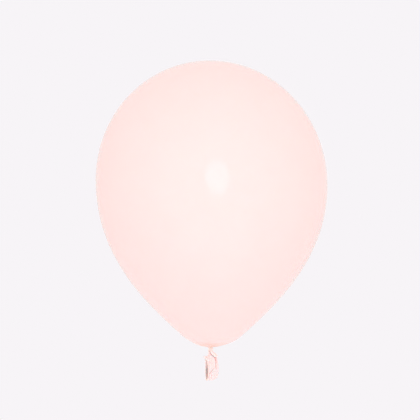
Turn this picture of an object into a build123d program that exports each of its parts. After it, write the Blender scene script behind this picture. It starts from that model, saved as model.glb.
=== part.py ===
from build123d import *
import math
import os

# An inflated latex party balloon, knotted below its bulb, with the flattened neck hanging from the knot.
# Millimetres. Z runs up the throat, and the origin is the middle of the bare throat, where a ribbon is tied.
# The mouth of the neck faces -X, and the flat of the tail faces -Y and +Y.

# ---- Driving dimensions ----

# Bulb
bulb_diameter = 280.0        # across the widest level
crown_height = 148.0         # widest level to crown
taper_height = 198.0         # lowest point of the bulb to the widest level
cap_radius = 56.0            # round lower end of the bulb
taper_slope = 47.0           # degrees between the straight part of the taper and the axis
crown_fullness = 78.0        # how far the crown stays flat beside the axis
shoulder_fullness = 82.0     # how far the wall stays upright above the widest level
belly_fullness = 95.0        # how far the wall stays upright below the widest level
taper_straightness = 45.0    # how far the taper stays straight above the round lower end
bulb_offset = 2.5            # the knot gathers the neck this far to one side of the bulb's axis
film_wall = 0.3              # a stand-in: stretched latex is far thinner

# Throat
throat_diameter = 5.4
throat_length = 2.3          # bare stretch, from the gather below the bulb to its lower end
gather_radius = 1.0          # round where the film turns down into the throat
plug_height = 3.0            # how far the gathered film reaches up inside the bulb
plug_round = 2.0
ball_diameter = 3.0          # round end of the knot, which turns inside the throat's end
stem_diameter = 2.2          # of the ball's stem, which clears the throat's rim as the knot sways

# Knot
strand_diameter = 4.1
wrap_diameter = 8.2          # of the loop's centre line
wrap_tilt = 54.0             # degrees from level: the loop runs down towards +X
knot_offset = 2.2            # middle of the loop, along X
knot_drop = 6.8              # middle of the loop, below the lower end of the throat
core_diameter = 8.0          # of the strand that fills the loop
core_height = 9.8

# Tail
tail_thickness = 2.2         # two walls of neck pressed together
tail_edge_round = 1.0
tail_root_width = 8.0
tail_foot_width = 10.8
tail_side_length = 21.6      # root to the outer corner of the foot
tail_length = 24.8           # root to the inner corner of the foot
tail_foot_round = 3.0

# Mouth
flare_root = -0.6            # where the neck's two walls start to part, along X
flare_root_height = 22.6
flare_root_end_radius = 0.9
flare_wall = 0.6
pocket_floor = 0.8           # rubber left between the tail and the hollow of the mouth
lip_bead_diameter = 1.5
lip_height = 29.0            # of the bead's centre line: the mouth is pulled long and narrow
lip_width = 7.4              # of the bead's centre line
lip_end_radius = 2.0         # tight turn at each end of the mouth
lip_turn = 28.0              # degrees that the mouth is turned from -X towards -Y
lip_lean = 1.0               # degrees that the top of the mouth leans outwards
lip_reach = 4.0              # middle of the mouth, beyond the throat's axis
lip_overhang = 4.8           # how far the bead rises above the root of the tail

# Fits
hinge_clearance = 0.3        # between pieces that turn on each other

# ---- Places worked out from them ----

bulb_radius = bulb_diameter / 2
throat_radius = throat_diameter / 2
ball_radius = ball_diameter / 2
stem_radius = stem_diameter / 2
strand_radius = strand_diameter / 2
wrap_radius = wrap_diameter / 2
lip_bead_radius = lip_bead_diameter / 2
tail_half = tail_thickness / 2

throat_top = throat_length / 2
throat_end = -throat_length / 2
bulb_bottom = throat_top + gather_radius
widest_level = bulb_bottom + taper_height
bulb_plane = Plane(origin=(bulb_offset, 0, 0), x_dir=(1, 0, 0), z_dir=(0, -1, 0))
bulb_axis = Axis((bulb_offset, 0, 0), (0, 0, 1))

tilt = math.radians(wrap_tilt)
knot_middle = Vector(knot_offset, 0, throat_end - knot_drop)
wrap_plane = Plane(origin=knot_middle, x_dir=(0, 1, 0), z_dir=(math.sin(tilt), 0, math.cos(tilt)))
strand_top = throat_end - knot_drop + wrap_radius * math.sin(tilt)
loop_reach_down = wrap_radius * math.sin(tilt) + strand_radius
knot_bottom = knot_middle.Z - max(loop_reach_down, core_height / 2)

tail_root = knot_bottom - hinge_clearance
tail_hinge_level = tail_root - tail_half
tail_foot = tail_root - tail_length
tail_middle = (tail_root + tail_foot) / 2

turn = math.radians(lip_turn)
lean = math.radians(lip_lean)
lip_half_height = lip_height / 2
lip_level = tail_root + lip_overhang - lip_bead_radius - lip_half_height * math.cos(lean)
mouth_direction = (-math.cos(turn) * math.cos(lean), -math.sin(turn) * math.cos(lean), -math.sin(lean))
lip_plane = Plane(origin=(-lip_reach, 0, lip_level), x_dir=(math.sin(turn), -math.cos(turn), 0), z_dir=mouth_direction)


def half_bulb(inset):
    """Closed outline of half the bulb, from its axis to its wall, moved in by the inset."""
    slope = math.radians(taper_slope)
    radius = cap_radius - inset
    centre = bulb_bottom + cap_radius
    crown = (0, widest_level + crown_height - inset)
    widest = (bulb_radius - inset, widest_level)
    bottom = (0, centre - radius)
    taper_start = (radius * math.cos(slope), centre - radius * math.sin(slope))
    along_taper = (math.sin(slope) * taper_straightness, math.cos(slope) * taper_straightness)
    taper_handle = (taper_start[0] + along_taper[0], taper_start[1] + along_taper[1])
    shoulder_handle = (widest[0], widest_level + shoulder_fullness)
    belly_handle = (widest[0], widest_level - belly_fullness)
    Bezier(crown, (crown_fullness, crown[1]), shoulder_handle, widest)
    Bezier(widest, belly_handle, taper_handle, taper_start)
    RadiusArc(taper_start, bottom, radius)
    Line(bottom, crown)


def mouth_oval(half_height, half_width, end_radius):
    """Closed outline of four tangent arcs: two long sides and two tight ends."""
    end_centre = half_height - end_radius
    side_radius = (end_centre**2 + half_width**2 - end_radius**2) / (2 * (half_width - end_radius))
    side_centre = side_radius - half_width
    reach = math.degrees(math.atan2(end_centre, side_centre))
    CenterArc((-side_centre, 0), side_radius, -reach, 2 * reach)
    CenterArc((0, end_centre), end_radius, reach, 180 - 2 * reach)
    CenterArc((side_centre, 0), side_radius, 180 - reach, 2 * reach)
    CenterArc((0, -end_centre), end_radius, 180 + reach, 180 - 2 * reach)


# ---- Bulb: the stretched film, crown to throat ----

with BuildPart() as bulb_form:
    with BuildSketch(bulb_plane):
        with BuildLine():
            half_bulb(0)
        make_face()
    revolve(axis=bulb_axis)

with BuildPart() as bulb_skin:
    add(bulb_form.part)
    with BuildSketch(bulb_plane):
        with BuildLine():
            half_bulb(film_wall)
        make_face()
    revolve(axis=bulb_axis, mode=Mode.SUBTRACT)
    with BuildSketch(Plane.XY):
        Circle(throat_radius)
    extrude(amount=bulb_bottom + plug_height, mode=Mode.SUBTRACT)

# ---- Throat: the neck gathered into a plug that shuts the bulb ----

with BuildPart() as throat:
    with BuildSketch(Plane.XZ):
        with BuildLine():
            Line((0, throat_top), (throat_radius, throat_top))
            RadiusArc(
                (throat_radius, throat_top),
                (throat_radius + gather_radius, bulb_bottom),
                gather_radius,
            )
            Line((throat_radius + gather_radius, bulb_bottom), (throat_radius + gather_radius, bulb_bottom + 1))
            Line((throat_radius + gather_radius, bulb_bottom + 1), (0, bulb_bottom + 1))
            Line((0, bulb_bottom + 1), (0, throat_top))
        make_face()
    revolve(axis=Axis.Z)
    add(bulb_form.part, mode=Mode.SUBTRACT)
    with BuildSketch(Plane.XY.offset(throat_end)):
        Circle(throat_radius)
    extrude(amount=bulb_bottom + plug_height - throat_end)
    fillet(throat.faces().sort_by(Axis.Z)[-1].edges(), plug_round)
    with Locations((0, 0, throat_end)):
        Sphere(ball_radius + hinge_clearance, mode=Mode.SUBTRACT)

# ---- Knot: one strand wound round, one strand through it ----

with BuildPart() as knot_wrap:
    with Locations(wrap_plane):
        Torus(wrap_radius, strand_radius)
    with Locations((0, 0, throat_end)):
        Sphere(throat_radius + hinge_clearance, mode=Mode.SUBTRACT)
        Sphere(ball_radius)
    with BuildSketch(Plane.XY.offset(strand_top)):
        Circle(stem_radius)
    extrude(amount=throat_end - strand_top)

with BuildPart() as knot_core:
    with BuildSketch(Plane.XZ):
        with Locations((knot_middle.X, knot_middle.Z)):
            Ellipse(core_diameter / 2, core_height / 2)
            Rectangle(core_diameter, core_height, align=(Align.MAX, Align.CENTER), mode=Mode.SUBTRACT)
    revolve(axis=Axis(knot_middle, (0, 0, 1)))
    with Locations((0, 0, throat_end)):
        Sphere(throat_radius + hinge_clearance, mode=Mode.SUBTRACT)
    add(knot_wrap.part, mode=Mode.SUBTRACT)

# ---- Tail: the flattened neck below the knot ----

with BuildPart() as tail:
    with BuildSketch(Plane.XZ) as tail_outline:
        with BuildLine():
            Polyline(
                (flare_root, tail_root),
                (flare_root + tail_root_width, tail_root),
                (flare_root + tail_foot_width, tail_root - tail_side_length),
                (flare_root, tail_foot),
                close=True,
            )
        make_face()
        fillet(tail_outline.vertices().sort_by(Axis.X)[-2:], tail_foot_round)
    extrude(amount=tail_half, both=True)
    inner_edges = tail.faces().sort_by(Axis.X)[0].edges()
    flat_faces = tail.faces().filter_by(Axis.Y)
    fillet([edge for edge in flat_faces.edges() if edge not in inner_edges], tail_edge_round)

# ---- Mouth: the rolled bead, and the walls that part towards it ----

with BuildPart() as rolled_lip:
    with BuildLine(lip_plane) as lip_path:
        mouth_oval(lip_half_height, lip_width / 2, lip_end_radius)
    lip_wire = lip_path.wire()
    with BuildSketch(Plane(origin=lip_wire @ 0, z_dir=lip_wire % 0)):
        Circle(lip_bead_radius)
    sweep(path=lip_wire)


with BuildPart() as mouth_flare:
    for inset, floor, mode in ((0, 0, Mode.ADD), (flare_wall, pocket_floor, Mode.SUBTRACT)):
        root_plane = Plane(origin=(flare_root - floor, 0, tail_middle), x_dir=(0, -1, 0), z_dir=(-1, 0, 0))
        with BuildSketch(root_plane):
            with BuildLine():
                mouth_oval(flare_root_height / 2 - inset, tail_half - inset, flare_root_end_radius - inset)
            make_face()
        with BuildSketch(lip_plane):
            with BuildLine():
                mouth_oval(lip_half_height - inset, lip_width / 2 - inset, lip_end_radius - inset)
            make_face()
        loft(mode=mode)
    add(rolled_lip.part, mode=Mode.SUBTRACT)

# ---- Files ----

bulb_skin.part.label = "bulb_skin"
throat.part.label = "throat"
knot_wrap.part.label = "knot_wrap"
knot_core.part.label = "knot_core"
tail.part.label = "tail"
mouth_flare.part.label = "mouth_flare"
rolled_lip.part.label = "rolled_lip"

os.makedirs("parts", exist_ok=True)
for piece in (bulb_skin, throat, knot_wrap, knot_core, tail, mouth_flare, rolled_lip):
    export_step(piece.part, "parts/" + piece.part.label + ".step")

print("throat hinge", (0, 0, throat_end))
print("tail hinge", (0, 0, tail_hinge_level))
print("height", widest_level + crown_height - (lip_level - lip_half_height * math.cos(lean) - lip_bead_radius))
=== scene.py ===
# %% [markdown]
# # An inflated latex balloon with a knotted neck
# A party balloon is one dipped bag of natural rubber. Blown up, it becomes four things to the eye:
# a taut, glossy bulb; a gathered throat below it; a knot; and a slack, flattened neck that ends in a
# rolled bead. Each is a piece of its own here, laid over a plain CAD frame that says where it sits
# and which body it moves with. The throat's middle is the origin. Blender works in metres, but the
# balloon's own lengths are easier to judge in mm, so they are written in mm and turned at the end.

# %% Load the frame
import bpy
import numpy as np
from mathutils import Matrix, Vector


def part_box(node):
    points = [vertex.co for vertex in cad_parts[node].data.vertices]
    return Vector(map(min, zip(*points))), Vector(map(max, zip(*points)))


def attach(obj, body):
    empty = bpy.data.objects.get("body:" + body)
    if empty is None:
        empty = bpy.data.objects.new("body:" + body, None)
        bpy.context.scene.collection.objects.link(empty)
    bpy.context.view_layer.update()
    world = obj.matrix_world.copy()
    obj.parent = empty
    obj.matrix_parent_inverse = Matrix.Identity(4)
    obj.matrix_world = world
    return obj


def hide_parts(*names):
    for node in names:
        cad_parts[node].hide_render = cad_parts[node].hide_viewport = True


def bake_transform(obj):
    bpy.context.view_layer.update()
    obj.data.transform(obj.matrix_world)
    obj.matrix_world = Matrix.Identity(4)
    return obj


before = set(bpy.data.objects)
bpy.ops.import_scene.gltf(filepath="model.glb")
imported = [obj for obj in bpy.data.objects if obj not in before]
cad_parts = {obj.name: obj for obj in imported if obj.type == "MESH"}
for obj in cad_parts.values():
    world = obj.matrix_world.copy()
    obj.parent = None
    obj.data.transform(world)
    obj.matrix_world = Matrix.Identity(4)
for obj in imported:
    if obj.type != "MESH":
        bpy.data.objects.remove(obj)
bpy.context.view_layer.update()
MM = 0.001

# %% [markdown]
# ## Camera, backdrop and light
# A balloon like this is drawn by very little: a pale, even studio, one soft window of light that
# shows as an oval on the bulb, and the reflection of the white room that brightens the rim. The
# camera is level, a little above the middle of the object, and far enough away to flatten it.
# The room is a white world, brightest behind the camera. The key light is a large oval softbox there,
# a little to the right, which makes the oval gleam and leaves the sides of the bulb a shade deeper
# than its middle. A low reflector board lifts the underside.

# %% Colours are written as sRGB hex and turned linear once
def linear(hex_colour):
    """Each channel, 0 to 1, undoes the sRGB curve: c/12.92 near black, else ((c+0.055)/1.055)^2.4."""
    channel = np.array([int(hex_colour[i : i + 2], 16) for i in (0, 2, 4)]) / 255
    value = np.where(channel <= 0.04045, channel / 12.92, ((channel + 0.055) / 1.055) ** 2.4)
    return (*value.tolist(), 1.0)


# %% Node helper
def node(tree, kind, settings=None, **inputs):
    """Adds a node. settings sets its properties. inputs are named as its sockets, with _ for a space, or
    by number, such as _0, and take a value or another node's output socket."""
    made = tree.nodes.new(kind)
    for name, value in (settings or {}).items():
        setattr(made, name, value)
    for name, value in inputs.items():
        which = int(name[1:]) if name[1:].isdigit() else name.replace("_", " ")
        socket = made.inputs[which]
        if isinstance(value, bpy.types.NodeSocket):
            tree.links.new(value, socket)
        else:
            socket.default_value = value
    return made


# %% Camera
camera_distance = 2.2
camera_level = 0.1676
camera_aside = -0.0002
frame_width = 0.5084        # what the picture takes in, at the balloon
sensor_width = 36.0
camera = bpy.data.objects.new("camera", bpy.data.cameras.new("camera"))
bpy.context.scene.collection.objects.link(camera)
camera.location = (camera_aside, -camera_distance, camera_level)
camera.rotation_euler = (np.pi / 2, 0, 0)
camera.data.sensor_width = sensor_width
camera.data.lens = sensor_width * camera_distance / frame_width
bpy.context.scene.camera = camera
bpy.context.scene.view_settings.view_transform = "Standard"
print("lens", round(camera.data.lens, 1), "mm")

# %% The white room
# What the camera sees behind the balloon is plain pale paper. What lights the balloon is the room: a
# little warmer than the paper, brightest on the side of the softbox and dimmest on the far side, which
# the rim of the bulb mirrors. Two soft steps along Y join the three strengths.
paper_colour, room_colour = "F7F4F7", "FFFAF8"
room_front, room_side, room_back = 1.29, 1.02, 0.92
world = bpy.data.worlds.new("white_room")
world.use_nodes = True
world_tree = world.node_tree
world_tree.nodes.clear()
bpy.context.scene.world = world
way = node(world_tree, "ShaderNodeTexCoord").outputs["Generated"]
away = node(world_tree, "ShaderNodeSeparateXYZ", Vector=way).outputs["Y"]
soft_step = {"interpolation_type": "SMOOTHSTEP"}
to_front = node(
    world_tree, "ShaderNodeMapRange", soft_step, Value=away,
    From_Min=-1.0, From_Max=0.0, To_Min=room_front - room_side, To_Max=0.0,
).outputs["Result"]
to_back = node(
    world_tree, "ShaderNodeMapRange", soft_step, Value=away,
    From_Min=0.0, From_Max=1.0, To_Min=room_side, To_Max=room_back,
).outputs["Result"]
addition = node(world_tree, "ShaderNodeMath", {"operation": "ADD"}, _0=to_front, _1=to_back)
strength = addition.outputs["Value"]
room = node(world_tree, "ShaderNodeBackground", Color=linear(room_colour), Strength=strength).outputs[0]
paper = node(world_tree, "ShaderNodeBackground", Color=linear(paper_colour)).outputs[0]
seen = node(world_tree, "ShaderNodeLightPath").outputs["Is Camera Ray"]
both = node(world_tree, "ShaderNodeMixShader", _0=seen, _1=room, _2=paper).outputs[0]
node(world_tree, "ShaderNodeOutputWorld", Surface=both)
print("room strength, front, side and back:", room_front, room_side, room_back)


# %% Key light and reflector board
def softbox(name, place, aim, size, radiance, colour):
    """An oval area light that faces the aim point. Its power is radiance times pi times its area."""
    data = bpy.data.lights.new(name, "AREA")
    data.color = linear(colour)[:3]
    data.shape = "ELLIPSE"
    data.size, data.size_y = size
    data.energy = radiance * np.pi * np.pi / 4 * size[0] * size[1]
    lamp = bpy.data.objects.new(name, data)
    bpy.context.scene.collection.objects.link(lamp)
    lamp.location = place
    towards = np.array(aim) - np.array(place)
    level_run = np.hypot(towards[0], towards[1])
    lamp.rotation_euler = (np.arctan2(level_run, -towards[2]), 0, np.arctan2(-towards[0], towards[1]))
    lamp.visible_camera = False
    return lamp


bulb_low, bulb_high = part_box("bulb_skin")
bulb_middle = (bulb_low + bulb_high) / 2
key = softbox("key", (0.22, -2.6, 0.43), bulb_middle, (1.0, 1.25), 1.6, "E4EEFF")
board = softbox("board", (0.0, -0.6, -0.45), bulb_middle, (1.2, 0.8), 0.32, room_colour)
print("key light", round(key.data.energy, 1), "W, board", round(board.data.energy, 1), "W")

# %% Floor
# The balloon floats, so the floor is well below it. It is a plain disc that fades out at its rim, and
# it is clear from below, so that the underside of the balloon can be looked at too.
floor_level = -0.5
floor_radius = 3.0
floor_corners = 96
turn = np.linspace(0, 2 * np.pi, floor_corners, endpoint=False)
rim = floor_radius * np.stack([np.cos(turn), np.sin(turn)], 1)
rim = np.column_stack([rim, np.full(floor_corners, floor_level)])
floor_mesh = bpy.data.meshes.new("floor")
floor_mesh.from_pydata(rim.tolist(), [], [list(range(floor_corners))])
floor = bpy.data.objects.new("floor", floor_mesh)
bpy.context.scene.collection.objects.link(floor)
print("floor", 2 * floor_radius, "m across, at", floor_level, "m")

# %% [markdown]
# ## One helper for every piece: a skin over a grid of points
# Each piece is a function of two parameters, worked out for a whole grid at once. The grid's columns
# run round the piece and its rows run along it. The helper joins neighbours into faces, shuts open
# ends with a fan of triangles, and turns the faces outwards if the enclosed volume comes out negative.


# %% Skin helper
def skin(name, points, slack, fold=0.0, loop=False):
    """A closed mesh from rows x columns x 3 points in mm. The last column meets the first. With loop the
    last row meets the first too, else each end row is fanned to its own middle. slack and the painted
    shade, 0 to 1 for each point, are kept as attributes: slack is 0 on film stretched tight and 1 on
    slack rubber; the painted shade is 1 where a crease or hollow is painted darkest, as shade falls
    there."""
    rows, columns = points.shape[:2]
    index = np.arange(rows * columns).reshape(rows, columns)
    here = index if loop else index[:-1]
    below = np.roll(index, -1, 0) if loop else index[1:]
    quads = np.stack([here, np.roll(here, -1, 1), np.roll(below, -1, 1), below], -1).reshape(-1, 4)
    vertices = points.reshape(-1, 3)
    marks = [np.broadcast_to(mark, (rows, columns)).ravel() for mark in (slack, fold)]
    marks = np.stack(marks, -1)
    fans = np.empty((0, 3), int)
    if not loop:
        first, last = rows * columns, rows * columns + 1
        top = np.stack([np.full(columns, first), np.roll(index[0], -1), index[0]], -1)
        bottom = np.stack([np.full(columns, last), index[-1], np.roll(index[-1], -1)], -1)
        fans = np.concatenate([top, bottom])
        vertices = np.concatenate([vertices, points[[0, -1]].mean(1)])
        marks = np.concatenate([marks, marks[[0, -1]]])
    corners = np.concatenate([quads[:, [0, 1, 2]], quads[:, [0, 2, 3]], fans])
    a, b, c = vertices[corners].transpose(1, 0, 2)
    volume = np.einsum("ij,ij->", a, np.cross(b, c)) / 6
    if volume < 0:
        quads, fans = quads[:, ::-1], fans[:, ::-1]
    mesh = bpy.data.meshes.new(name)
    mesh.from_pydata((vertices * MM).tolist(), [], quads.tolist() + fans.tolist())
    mesh.polygons.foreach_set("use_smooth", np.ones(len(mesh.polygons), bool))
    for mark_name, mark in (("slack", marks[:, 0]), ("fold", marks[:, 1])):
        attribute = mesh.attributes.new(mark_name, "FLOAT", "POINT")
        attribute.data.foreach_set("value", mark.astype(np.float32))
    piece = bpy.data.objects.new(name, mesh)
    bpy.context.scene.collection.objects.link(piece)
    print(name, len(quads) * 2 + len(fans), "triangles,", round(abs(volume)), "cubic mm")
    return piece


# %% Curve helpers
def bezier(a, b, c, d, t):
    """A cubic Bezier curve: its four control points weighted by the Bernstein curves."""
    a, b, c, d = (np.asarray(p, float) for p in (a, b, c, d))
    return a * (1 - t) ** 3 + 3 * b * t * (1 - t) ** 2 + 3 * c * t**2 * (1 - t) + d * t**3


def smooth(x):
    """An S-curve from 0 to 1: 3x^2 - 2x^3, held at its ends."""
    x = np.clip(x, 0, 1)
    return x * x * (3 - 2 * x)


def unit(v):
    """Each vector divided by its length."""
    return v / np.linalg.norm(v, axis=-1, keepdims=True)


def ribs(x):
    """Round ridges with sharp valleys between them, as gathered film has: 2|cos x| less its mean, 4/pi.
    There are two ridges to each turn of x."""
    return 2 * np.abs(np.cos(x)) - 4 / np.pi


def pleats(angle, counts, seed):
    """Folds round a gathered tube: for each count k, ribs of (k angle + phase)/2, with seeded phases.
    Returns one row of waves for each count."""
    phases = np.random.default_rng(seed).uniform(0, 2 * np.pi, len(counts))
    waves = np.multiply.outer(np.array(counts), angle) + phases[:, None]
    return ribs(waves / 2)


print("pleats of a count of 4, each 45 degrees:", pleats(np.arange(8) * np.pi / 4, (4,), 1).round(2)[0])


# %% [markdown]
# ## The bulb
# Air pushes the film out evenly, so the bulb is close to a surface of revolution: a wide round crown,
# an upright belly, a nearly straight taper and a small round bottom. One profile carried round an
# axis gives all of it, and keeps the outline true from every side. What breaks the symmetry is the
# knot: it gathers the film a little to one side of the axis, and pulls it into fine radial pleats,
# sharp at the throat and gone within a few centimetres. They are real displacement, not a bump map,
# so they catch the light from any angle.

# %% Bulb sizes, read from the frame or shared with the CAD model
bulb_radius = (bulb_high.x - bulb_low.x) / 2 / MM
crown_level = bulb_high.z / MM
crown_height = 148.0                                # from the widest level to the crown
widest_level = crown_level - crown_height
crown_fullness, shoulder_fullness = 78.0, 82.0      # handles of the upper curve
belly_fullness, taper_straightness = 95.0, 45.0     # handles of the lower curve
taper_slope = 47.0                                  # degrees off the axis, at the end of the taper
cap_radius, bulb_bottom = 56.0, 2.15                # the round bottom, and its level if it were whole
gather_radius = 9.0                                 # inside this the film is gathered, and turns down
gather_run, gather_level = 4.0, 2.7                 # handles of that turn: outer run, inner level
throat_radius, foot_level = 2.7, 1.7                # where the turn ends
print("bulb radius", round(bulb_radius, 1), "mm, crown at", round(crown_level, 1), "mm")


# %% Bulb profile
def bulb_profile():
    """Radius and level from crown to throat: a curve to the widest level, a curve down the taper, the
    round bottom as an arc, then a curve that turns down into the throat."""
    curve_steps, arc_steps, gather_steps = 72, 30, 40
    slope = np.radians(taper_slope)
    centre = bulb_bottom + cap_radius
    taper_start = cap_radius * np.array([np.cos(slope), -np.sin(slope)]) + (0, centre)
    handle = taper_start + taper_straightness * np.array([np.sin(slope), np.cos(slope)])
    crown = (0, crown_level)
    widest = (bulb_radius, widest_level)
    shoulder = (bulb_radius, widest_level + shoulder_fullness)
    belly = (bulb_radius, widest_level - belly_fullness)
    t = np.linspace(0, 1, curve_steps)[:, None]
    upper = bezier(crown, (crown_fullness, crown_level), shoulder, widest, t)
    lower = bezier(widest, belly, handle, taper_start, t)
    turn_end = np.arcsin(gather_radius / cap_radius)
    swing = np.linspace(np.pi / 2 - slope, turn_end, arc_steps)
    arc = np.stack([cap_radius * np.sin(swing), centre - cap_radius * np.cos(swing)], 1)
    inward = arc[-1] - gather_run * np.array([1, np.tan(turn_end)])
    above_foot, foot = (throat_radius, gather_level), (throat_radius, foot_level)
    gather = bezier(arc[-1], inward, above_foot, foot, np.linspace(0, 1, gather_steps)[:, None])
    return np.concatenate([upper[1:], lower[1:], arc[1:], gather[1:]])


profile = bulb_profile()
radius, level = profile.T
print("profile of", len(profile), "points, lowest at", round(level.min(), 2), "mm")

# %% Pleats at the throat
throat_pleats = (7, 11, 17, 26)                             # waves round the throat, coarse to fine
throat_pleat_depths = np.array([0.2, 0.17, 0.13, 0.08])
throat_pleat_seed = 7
pleat_reach = 110.0
spread_swell, spread_reach = 1.3, 6.0
angle = np.linspace(0, 2 * np.pi, 256, endpoint=False)


def throat_folds(radius):
    """How far the pleats stand proud at each radius and angle, in mm. x mm outside the throat, a wave of
    count k has faded by e^(-k x / 110), so the finest go first. Over the first 6 mm, where the film
    spreads out, all of them swell to 2.3 times their depth."""
    reach = pleat_reach / np.array(throat_pleats)
    beyond = np.clip(radius[:, None] - throat_radius, 0, None)
    fade = np.exp(-beyond / reach) * (1 + spread_swell * smooth(beyond / spread_reach))
    return (fade * throat_pleat_depths) @ pleats(angle, throat_pleats, throat_pleat_seed)


# %% Bulb film
# The knot pulls the lower bulb aside, in the first few millimetres above it, and the crown leans back.
taper_lean, lean_height = 2.4, 7.0
crown_lean, crown_lean_start, crown_lean_height = 2.8, 120.0, 240.0
along = unit(np.gradient(profile, axis=0))
outward = np.stack([-along[:, 1], along[:, 0]], 1)
folds = throat_folds(radius) * (level < widest_level)[:, None]
uneven = 0.0012 * np.cos(2 * angle + 0.7) + 0.0008 * np.cos(3 * angle + 2.1)   # never quite round
wall = radius[:, None] * (1 + uneven * smooth(radius / bulb_radius)[:, None]) + outward[:, :1] * folds
height = level[:, None] + outward[:, 1:] * folds
pulled_aside = taper_lean * smooth((level - foot_level) / lean_height)
leant_back = crown_lean * smooth((level - crown_lean_start) / crown_lean_height)
axis_x = (pulled_aside - leant_back)[:, None]
film_points = np.stack([axis_x + wall * np.cos(angle), wall * np.sin(angle), height], -1)
# The film is thicker, so deeper in colour, low down beside the throat and at the tip of the crown.
thick_below, thick_fade, thick_beyond = 11.0, 8.0, 6.0
tip_slack, tip_radius = 0.35, 14.0
throat_slack = smooth((thick_below - level) / thick_fade)
throat_slack = throat_slack * smooth((radius - throat_radius) / thick_beyond)
crown_slack = tip_slack * np.exp(-((radius / tip_radius) ** 2)) * (level > widest_level)
bulb_film = skin("bulb_film", film_points, (throat_slack + crown_slack)[:, None])

# %% [markdown]
# ## The throat
# Between bulb and knot the film has no air in it. It is drawn into a cord thinner than a pencil,
# pleated lengthwise, and this is what bends when the balloon nods on its knot. It is a tube swept
# along the first part of the knot's own route. The same pleats as the bulb's are carried down, so
# the two read as one film. The top end is hidden in the bulb.

# %% Strand route
# The knot's strand leaves the throat, crosses the front of the knot downwards to the right, turns
# behind it and climbs back. The control points are given one by one; the curve rounds them off.
strand_points = np.array(
    [
        (0.0, 0.0, 3.0),
        (0.2, 0.2, 1.5),
        (0.7, -2.2, -1.6),
        (2.4, -3.9, -5.0),
        (5.0, -3.7, -8.0),
        (7.4, -0.9, -9.6),
        (6.8, 2.6, -8.8),
        (3.4, 4.4, -6.4),
        (0.2, 3.2, -4.2),
        (-0.9, 0.6, -3.6),
    ]
)


def rope_line(points, count):
    """A uniform cubic B-spline: each stretch is four neighbouring points weighted by the basis curves.
    Its end points are tripled, so that it starts and ends on them."""
    points = np.concatenate([points[[0, 0]], points, points[[-1, -1]]])
    t = np.linspace(0, len(points) - 3, count)
    stretch = np.minimum(t.astype(int), len(points) - 4)
    f = (t - stretch)[:, None]
    basis = ((1 - f) ** 3, 3 * f**3 - 6 * f**2 + 4, -3 * f**3 + 3 * f**2 + 3 * f + 1, f**3)
    return sum(points[stretch + k] * basis[k] for k in range(4)) / 6


def tube(line, radius, around, reference):
    """Rings about a line. Each ring is square to the line's direction, and starts on the side nearest to
    the reference direction. radius is one number for each row, or one for each row and column."""
    direction = unit(np.gradient(line, axis=0))
    side = unit(reference - np.sum(reference * direction, 1, keepdims=True) * direction)
    other = np.cross(direction, side)
    ring = np.cos(around)[None, :, None] * side[:, None] + np.sin(around)[None, :, None] * other[:, None]
    return line[:, None] + np.asarray(radius)[..., None] * ring


# %% Throat
# Its radius is given at a few levels. Both ends close up, out of sight inside the bulb and the knot.
throat_levels = (-2.6, -1.8, -0.6, 0.8, 2.6, 3.0)
throat_radii = (0.6, 1.9, 2.4, 2.64, 2.6, 0.8)
route_steps, throat_rows = 400, 60
throat_line = rope_line(strand_points, route_steps)[: throat_rows * 2 : 2]
throat_girth = np.interp(throat_line[:, 2], throat_levels, throat_radii)
stem_folds = throat_folds(np.full(throat_rows, throat_radius))
to_right = np.array([1.0, 0, 0])
throat_points = tube(throat_line, throat_girth[:, None] + stem_folds, angle, to_right)
throat_gather = skin("throat_gather", throat_points, 0.1)

# %% [markdown]
# ## The knot
# An overhand knot in soft rubber is a fat loop squeezed round the strand that runs through it. The
# loop is a rope swept along a given curve; its surface is ridged, because the tube of film has
# been pulled into a bundle. What fills the loop is a second, shorter bundle, seen only in the gaps.

# %% Knot strand
# Its radius is given at a few places along the route. Nine ribs wind round it, and its two ends are
# rounded off by a flat superellipse.
strand_rows = 260
strand_ribs, rib_height, strand_twist = 9, 0.05, 1.5
end_flatness = 40
knot_middle = np.array([2.6, 0.2, -6.8])
strand_line = rope_line(strand_points, strand_rows)
travel = np.linspace(0, 1, strand_rows)
strand_girth = np.interp(travel, (0, 0.2, 0.45, 0.62, 0.8, 1), (2.2, 1.9, 1.7, 1.7, 1.8, 1.9))
from_half = np.clip(np.abs(travel - 0.5) / 0.5, 0, 0.9999)
ends_round = np.sqrt(np.clip(1 - from_half**end_flatness, 0.002, 1))
round_strand = np.linspace(0, 2 * np.pi, 96, endpoint=False)
twist = round_strand[None] + strand_twist * travel[:, None]
ridges = 1 + rib_height * ribs(strand_ribs / 2 * twist)
ridges = ridges + 0.03 * np.cos(2 * twist + 9 * travel[:, None])      # never quite round
strand_radius = (strand_girth * ends_round)[:, None] * ridges
strand_surface = tube(strand_line, strand_radius, round_strand, strand_line - knot_middle)

# %% Shade under the strand
# Where the front of the strand lies on the tail, its lower left side is in its own shade, and that
# shade is painted into its colour through the painted-shade attribute. The knot pulls the strand
# tight, so its slack is 0 and it is pale.
under_side = unit(np.array([-0.75, 0.25, -0.6]))
shade_edge, shade_fade, shade_depth = 0.66, 0.2, 0.7
front_start, front_end = 0.12, 0.66
strand_normal = unit(strand_surface - strand_line[:, None])
in_front = smooth(travel / front_start) * (travel < front_end)
strand_painted_shade = smooth((strand_normal @ under_side - shade_edge) / shade_fade) * in_front[:, None]
knot_strand = skin("knot_strand", strand_surface, 0.0, shade_depth * strand_painted_shade)

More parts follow.
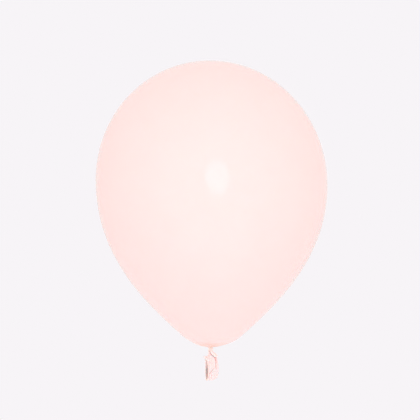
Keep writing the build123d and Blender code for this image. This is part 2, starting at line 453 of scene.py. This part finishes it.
# %% Knot core
core_rows = 60
core_radius, core_thinning, core_ribs = 2.4, 0.4, 11
core_places = np.array([(3.6, 1.4, -4.4), (3.0, 1.2, -5.2), (2.8, 1.1, -6.2), (3.0, 1.0, -7.6)])
core_line = rope_line(core_places, core_rows)
core_travel = np.linspace(0, 1, core_rows)
core_ends = np.sqrt(np.clip(1 - (2 * core_travel - 1) ** 6, 0.004, 1))
core_girth = core_radius * core_ends * (1 - core_thinning * core_travel)
core_ridges = 1 + rib_height * ribs(core_ribs / 2 * round_strand)
core_points = tube(core_line, core_girth[:, None] * core_ridges, round_strand, to_right)
knot_core = skin("knot_core_bundle", core_points, 1.0)

# %% [markdown]
# ## The tail
# Below the knot the neck is a slack tube, pressed flat, that fans out to its mouth. The mouth is
# pulled long and narrow and faces left, so the tube turns through a quarter circle between knot and
# mouth. One closed surface does it: every point round the tube travels along its own Bezier curve
# from the knot to the mouth. The short way round and the long way round each have three given
# control points and end on the rim of the mouth, and the rest lie between them. Folds are pressed in
# along a few listed lines. A second surface inside the first makes the wall and the pocket.

# %% Mouth curve
mouth_middle = np.array([-3.85, 0.0, -23.9])
mouth_height, mouth_width = 29.0, 7.4
mouth_turn, mouth_lean = np.radians(28.0), np.radians(0.5)
mouth_across = np.array([np.sin(mouth_turn), -np.cos(mouth_turn), 0.0])
mouth_level = np.cos(mouth_lean)
mouth_facing = -np.array(
    [np.cos(mouth_turn) * mouth_level, np.sin(mouth_turn) * mouth_level, np.sin(mouth_lean)]
)
mouth_upward = unit(np.cross(mouth_facing, mouth_across))
middle_fullness, upward_narrowing = 0.92, 0.38
ear_reach = 3.9


def mouth(turned):
    """The mouth's rim: a narrow oval, widest below its middle, its angle measured from the top by way of
    the near side. The top is drawn out into a small ear."""
    upright, across = np.cos(turned)[..., None], np.sin(turned)[..., None]
    rim = mouth_height / 2 * upright * mouth_upward
    rim = rim + mouth_width / 2 * across * (middle_fullness - upward_narrowing * upright) * mouth_across
    return mouth_middle + rim + ear_reach * np.clip(upright, 0, 1) ** 4 * mouth_facing


print("mouth", mouth_height, "mm long and", mouth_width, "mm wide at its middle")


# %% Folds pressed into the two walls
# Each fold is a line of points across the flat of the tail, then its depth and its width in mm, how
# much painted shade deepens its colour, and the wall that it is in: 1 for the near one, -1 for the far
# one.
tail_creases = (
    (((5.6, -10.4), (6.5, -13.0), (6.8, -17.0), (6.6, -21.0), (7.9, -27.0)), 1.0, 0.34, 0.3, 1),
    (((5.6, -22.6), (3.6, -24.9), (1.6, -27.4), (-0.4, -30.0), (-1.9, -34.0)), 0.7, 0.32, 0.2, 1),
    (((1.4, -30.6), (1.7, -33.0), (1.3, -36.4)), 0.5, 0.3, 0.2, 1),
    (((9.0, -26.0), (8.0, -30.0), (8.4, -34.6)), 0.4, 0.4, 0.05, 1),
    (((0.6, -13.0), (0.2, -17.0), (-1.4, -21.5)), 0.4, 0.4, 0.05, 1),
    (((1.2, -10.0), (2.4, -15.0), (1.8, -20.0), (0.4, -27.0)), 0.9, 0.34, 0.25, -1),
    (((7.2, -13.0), (5.8, -19.0), (5.2, -25.0), (6.2, -33.0)), 0.9, 0.34, 0.25, -1),
    (((4.0, -19.6), (2.6, -24.0), (-0.6, -28.4)), 0.6, 0.32, 0.2, -1),
    (((8.6, -19.0), (8.0, -25.0), (9.0, -31.0)), 0.4, 0.36, 0.08, -1),
)


def along_line(x, z, points):
    """For each place, the shortest distance to a line of straight runs, and how far along the line the
    nearest point is, from 0 to 1. On each run that is the foot of the perpendicular, held to the run's
    ends; the nearest run counts."""
    start = np.array(points[:-1], float)
    run = np.array(points[1:], float) - start
    place = np.stack([x, z], -1)[..., None, :] - start
    share = np.clip((place * run).sum(-1) / (run * run).sum(-1), 0, 1)
    distance = np.linalg.norm(place - share[..., None] * run, axis=-1)
    nearest = distance.argmin(-1)[..., None]
    passed = (np.take_along_axis(share, nearest, -1) + nearest)[..., 0] / len(run)
    return np.take_along_axis(distance, nearest, -1)[..., 0], passed


# %% Numbers for the tail film
tail_rows, tail_columns = 150, 240
round_tail = np.linspace(0, 2 * np.pi, tail_columns, endpoint=False)
fold_taper = 0.2                # a fold fades in over this share of its length, and out again
roll_height, roll_place, roll_width = 0.3, 2.4, 1.4         # beside a valley, in its depths and widths
room_used = 0.7                 # of the room between the walls, which no fold may cross
strand_hold = 1.9               # the strand presses the near wall back this far to each side
# The groove's colour is darkened by painted shadow from the strand, groove_shade at its deepest.
groove_width, groove_depth, groove_shade = 0.5, 0.8, 0.6    # and the groove then fades out
root_pleat_count, root_pleat_depth = 18, 0.3
curl_depth, curl_turn, curl_start = 0.5, 3.2, 0.4           # the tail's slow wave, from knot to mouth


def lean_between(short_way, long_way, half_thickness, share, side):
    """A ring of control points: from the short way's point to the long way's, by share, and half the
    tube's thickness towards the near or the far side."""
    a, b = np.array(short_way), np.array(long_way)
    level = a + (b - a) * share[:, None]
    return np.stack([level[:, 0], -half_thickness * side, level[:, 1]], 1)


def tail_surface():
    """Rows from knot to mouth, columns round the tube. Control rings are blended by the Bezier weights.
    Then root pleats, creases, a groove along the strand and a slow curl move each point across the
    flat. A crease is a narrow valley, e^-(distance/width)^2, with a low roll on each side of it. It
    tapers to nothing at both ends, and is never deeper than the room between the walls. Returns the
    points, and the painted shade of each: darker at the bottom of the creases, and in the groove, where
    the strand's shadow is painted."""
    share, side = (1 - np.cos(round_tail)) / 2, np.sin(round_tail)
    root = lean_between((-1.5, -1.4), (8.0, -9.4), 2.9, share, side)
    upper = lean_between((-1.8, -5.5), (9.6, -20.0), 2.0, share, side)
    lower = lean_between((-1.8, -9.6), (16.8, -41.6), 1.3, share, side)
    t = np.linspace(0, 1, tail_rows)[:, None, None]
    points = bezier(root, upper, lower, mouth(round_tail), t)
    t = t[..., 0]
    x, z = points[..., 0], points[..., 2]
    room = np.abs(points[..., 1] - points[..., 1].mean(1, keepdims=True))
    push, fold = np.zeros(room.shape), np.zeros(room.shape)
    for line, depth, width, shade, wall_side in tail_creases:
        distance, passed = along_line(x, z, line)
        taper = smooth(np.minimum(passed, 1 - passed) / fold_taper)
        taper = taper * np.clip(wall_side * side, 0, 1) ** 0.5
        valley = np.exp(-((distance / width) ** 2))
        roll = roll_height * np.exp(-(((distance - roll_place * width) / (roll_width * width)) ** 2))
        push = push + wall_side * depth * taper * (valley - roll)
        fold = np.maximum(fold, shade * taper * valley)
    front_of_strand = strand_line[20:170:10, [0, 2]]
    beside_strand = np.clip(along_line(x, z, front_of_strand)[0] - strand_hold, 0, None)
    groove = np.clip(side, 0, 1) * np.exp(-((beside_strand / groove_width) ** 2)) * smooth(-1.0 - z)
    push = np.clip(push + groove_depth * groove, -room_used * room, room_used * room)
    root_pleats = root_pleat_depth * ribs(root_pleat_count / 2 * round_tail + 0.4)
    root_pleats = root_pleats * (1 - smooth(t / 0.5))
    curl = curl_depth * np.sin(curl_turn * t + curl_start)
    points[..., 1] += push + root_pleats * np.clip(2.5 * side, -1, 1) + curl
    return points, np.maximum(fold, groove_shade * groove)


outer, tail_painted_shade = tail_surface()
print("tail", outer[..., 0].min().round(1), "to", outer[..., 0].max().round(1), "mm across the flat")

# %% Pocket of the mouth
# The inner surface lies a wall's thickness inside the outer one: across the flat on its two sides, and
# along the flat at its edges. Where the walls are close it keeps 0.4 of the room, so they never cross.
# It reaches halfway up the tail, and painted shade darkens it, deepest a little below the middle of the
# mouth.
tail_wall, room_between = 0.35, 0.6
rim_shade, deep_shade, deepest_level, shade_spread = 0.25, 0.5, -27.5, 7.5
from_middle = outer - outer.mean(1, keepdims=True)
edge_share = 1 - np.abs(np.sin(round_tail))
inner = outer.copy()
inner[..., 1] -= np.clip(room_between * from_middle[..., 1], -tail_wall, tail_wall)
inner[..., [0, 2]] -= tail_wall * edge_share[:, None] * unit(from_middle[..., [0, 2]])
inner_rows = inner[-1 : tail_rows // 2 : -1]
above_deepest = (inner_rows[..., 2] - deepest_level) / shade_spread
inside_shade = rim_shade + deep_shade * np.exp(-(above_deepest**2))
tail_points = np.concatenate([outer, inner_rows])
tail_film = skin("tail_film", tail_points, 1.0, np.concatenate([tail_painted_shade, inside_shade]))

# %% [markdown]
# ## The rolled bead
# The mouth of a balloon is rolled back on itself while the rubber is still wet, which leaves a bead
# of several layers. It is a thin ring swept round the mouth's rim, a little uneven, as the roll is.
# Its slack attribute is 1 along the near side and 0 along the far side and the ear, which are paler.

# %% Rolled bead
bead_radius = 0.7
bead_rows, bead_columns = 260, 28
bead_turn = np.linspace(0, 2 * np.pi, bead_rows, endpoint=False)
bead_line = mouth(bead_turn)
bead_way = unit(np.roll(bead_line, -1, 0) - np.roll(bead_line, 1, 0))
bead_side = unit(mouth_facing - (bead_way @ mouth_facing)[:, None] * bead_way)
bead_other = np.cross(bead_way, bead_side)
round_bead = np.linspace(0, 2 * np.pi, bead_columns, endpoint=False)
unevenness = 1 + 0.06 * np.cos(5 * bead_turn + 1.0) + 0.04 * np.cos(9 * bead_turn + 2.5)
bead_ring = np.cos(round_bead)[None, :, None] * bead_side[:, None]
bead_ring = bead_ring + np.sin(round_bead)[None, :, None] * bead_other[:, None]
bead_points = bead_line[:, None] + bead_radius * unevenness[:, None, None] * bead_ring
near_side = smooth((np.sin(bead_turn) + 0.1) / 0.5) * smooth((0.8 - np.cos(bead_turn)) / 0.4)
lip_bead = skin("lip_bead", bead_points, near_side[:, None], loop=True)

# %% [markdown]
# ## Materials
# All of it is one rubber, but stretching changes how it looks. Blown up, the film is far thinner than
# it was: clear-toned and glossy, because stretching smooths the dipped surface. Slack, it is waxy
# rather than glossy, and dusted with the powder that keeps it from sticking.
# So there are three finishes: the bulb's, the neck's and the bead's. In each one the slack attribute
# mixes colour and roughness from tight to slack, and painted shade deepens the colour in the creases
# and hollows.


# %% Empty material
def material(name):
    """A material with no nodes yet, and its node tree."""
    made = bpy.data.materials.new(name)
    made.use_nodes = True
    made.node_tree.nodes.clear()
    return made, made.node_tree


# %% Latex
LATEX_IOR = 1.52                                # cured natural rubber
SCATTER_RED_GREEN_BLUE = (1.0, 0.55, 0.45)      # red light wanders furthest in it
SCATTER_DEPTH = 0.0012
CLOUD_SIZE, POWDER_SIZE = 0.035, 0.003          # the two noises, in metres
CLOUD_DIM, CLOUD_BRIGHT = 0.985, 1.015
POWDER_LIFT, POWDER_MATT = 0.02, 0.15           # what powder adds to brightness and to roughness
GRAIN_STRENGTH = 0.35


def latex(
    name, tight_hex, slack_hex, fold_hex, tight_gloss, slack_gloss, grain_mm, grain_depth, subsurface
):
    """Natural rubber latex, dipped and cured. Colour runs from tight_hex to slack_hex, and roughness
    from tight_gloss to slack_gloss, with the slack attribute; where the painted-shade attribute is high,
    painted shade deepens the colour of creases and hollows towards the third colour. Two clouds of
    noise tint it: one 35 mm wide, where the dip ran thicker, and one of 3 mm, the powder. Fine grain,
    grain_mm across, is bumped in. subsurface is the share of light that scatters under the surface."""
    made, tree = material(name)
    place = node(tree, "ShaderNodeTexCoord").outputs["Object"]
    slack = node(tree, "ShaderNodeAttribute", {"attribute_name": "slack"}).outputs["Fac"]
    clouds = node(tree, "ShaderNodeTexNoise", Vector=place, Scale=1 / CLOUD_SIZE, Detail=2.0)
    powder = node(tree, "ShaderNodeTexNoise", Vector=place, Scale=1 / POWDER_SIZE, Detail=4.0)
    base = node(tree, "ShaderNodeMix", {"data_type": "RGBA"}, _0=slack)
    base.inputs[6].default_value, base.inputs[7].default_value = linear(tight_hex), linear(slack_hex)
    fold = node(tree, "ShaderNodeAttribute", {"attribute_name": "fold"}).outputs["Fac"]
    shaded_colour = node(tree, "ShaderNodeMix", {"data_type": "RGBA"}, _0=fold, _6=base.outputs[2])
    shaded_colour.inputs[7].default_value = linear(fold_hex)
    cloudy = node(
        tree, "ShaderNodeMapRange", Value=clouds.outputs["Fac"], To_Min=CLOUD_DIM, To_Max=CLOUD_BRIGHT
    )
    times, add = {"operation": "MULTIPLY"}, {"operation": "MULTIPLY_ADD"}
    dust = node(tree, "ShaderNodeMath", times, _0=powder.outputs["Fac"], _1=slack).outputs["Value"]
    shade = node(tree, "ShaderNodeMath", add, _0=dust, _1=POWDER_LIFT, _2=cloudy.outputs["Result"])
    tinted = node(
        tree, "ShaderNodeHueSaturation", Color=shaded_colour.outputs[2], Value=shade.outputs["Value"]
    ).outputs["Color"]
    waxy = node(tree, "ShaderNodeMapRange", Value=slack, To_Min=tight_gloss, To_Max=slack_gloss)
    rough = node(tree, "ShaderNodeMath", add, _0=dust, _1=POWDER_MATT, _2=waxy.outputs["Result"])
    grain = node(tree, "ShaderNodeTexNoise", Vector=place, Scale=1000 / grain_mm, Detail=3.0)
    bump = node(
        tree, "ShaderNodeBump",
        Height=grain.outputs["Fac"], Strength=GRAIN_STRENGTH, Distance=grain_depth * MM,
    )
    shader = node(
        tree,
        "ShaderNodeBsdfPrincipled",
        Base_Color=tinted,
        Roughness=rough.outputs["Value"],
        IOR=LATEX_IOR,
        Normal=bump.outputs["Normal"],
    )
    shader.inputs["Subsurface Weight"].default_value = subsurface
    shader.inputs["Subsurface Radius"].default_value = SCATTER_RED_GREEN_BLUE
    shader.inputs["Subsurface Scale"].default_value = SCATTER_DEPTH
    node(tree, "ShaderNodeOutputMaterial", Surface=shader.outputs["BSDF"])
    return made


# %% The three finishes
# The stretched film is smooth enough to mirror a softbox sharply. The neck is waxy and powdered, and
# the shade in its creases and pocket is painted in, in grey. The bead is the neck's rubber in several
# layers.
stretched_latex = latex("stretched_latex", "FBDCD9", "FCD2C6", "EFB8AC", 0.07, 0.34, 1.5, 0.01, 0.25)
slack_latex = latex("slack_latex", "FCE9E4", "FBDDDB", "959693", 0.3, 0.42, 0.8, 0.02, 0.5)
bead_latex = latex("bead_latex", "F3E6E2", "FBD7D0", "D9B0A8", 0.3, 0.38, 0.8, 0.05, 0.5)
print("finishes:", [finish.name for finish in (stretched_latex, slack_latex, bead_latex)])

# %% Floor material
# Matt white paper. A mask fades it out towards its rim and hides its underside.
floor_colour = "FAF8FA"
fade_start, fade_end = 0.4, 0.97        # in floor radii
floor_paper, paper_tree = material("floor_paper")
ground = node(paper_tree, "ShaderNodeTexCoord").outputs["Object"]
reach = node(paper_tree, "ShaderNodeVectorMath", {"operation": "LENGTH"}, _0=ground).outputs["Value"]
fade = node(
    paper_tree, "ShaderNodeMapRange", soft_step, Value=reach,
    From_Min=floor_radius * fade_start, From_Max=floor_radius * fade_end,
).outputs["Result"]
under = node(paper_tree, "ShaderNodeNewGeometry").outputs["Backfacing"]
hidden = node(paper_tree, "ShaderNodeMath", {"operation": "MAXIMUM"}, _0=fade, _1=under).outputs["Value"]
matt = node(paper_tree, "ShaderNodeBsdfDiffuse", Color=linear(floor_colour)).outputs["BSDF"]
clear = node(paper_tree, "ShaderNodeBsdfTransparent").outputs["BSDF"]
laid = node(paper_tree, "ShaderNodeMixShader", _0=hidden, _1=matt, _2=clear).outputs["Shader"]
node(paper_tree, "ShaderNodeOutputMaterial", Surface=laid)
floor_mesh.materials.append(floor_paper)

# %% [markdown]
# ## Which body each piece moves with
# The bulb is one body, the knot a second, the tail a third. The bulb film moves with the bulb and the
# knot's core with the knot. The throat, the knot's strand, the tail and its bead keep their places,
# which are baked into their points.

# %% Finishes and bodies
for piece, finish, slot in (
    (bulb_film, stretched_latex, "stretched_film"),
    (throat_gather, slack_latex, "gathered_neck"),
    (knot_strand, slack_latex, "gathered_neck"),
    (knot_core, slack_latex, "gathered_neck"),
    (tail_film, slack_latex, "slack_neck"),
    (lip_bead, bead_latex, "rolled_bead"),
):
    piece.data.materials.append(finish)

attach(bulb_film, "bulb")
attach(knot_core, "knot")
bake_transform(throat_gather)
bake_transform(knot_strand)
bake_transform(tail_film)
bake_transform(lip_bead)
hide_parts("bulb_skin")
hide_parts("throat")
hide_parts("knot_wrap")
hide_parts("knot_core")
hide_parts("tail", "mouth_flare")
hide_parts("rolled_lip")
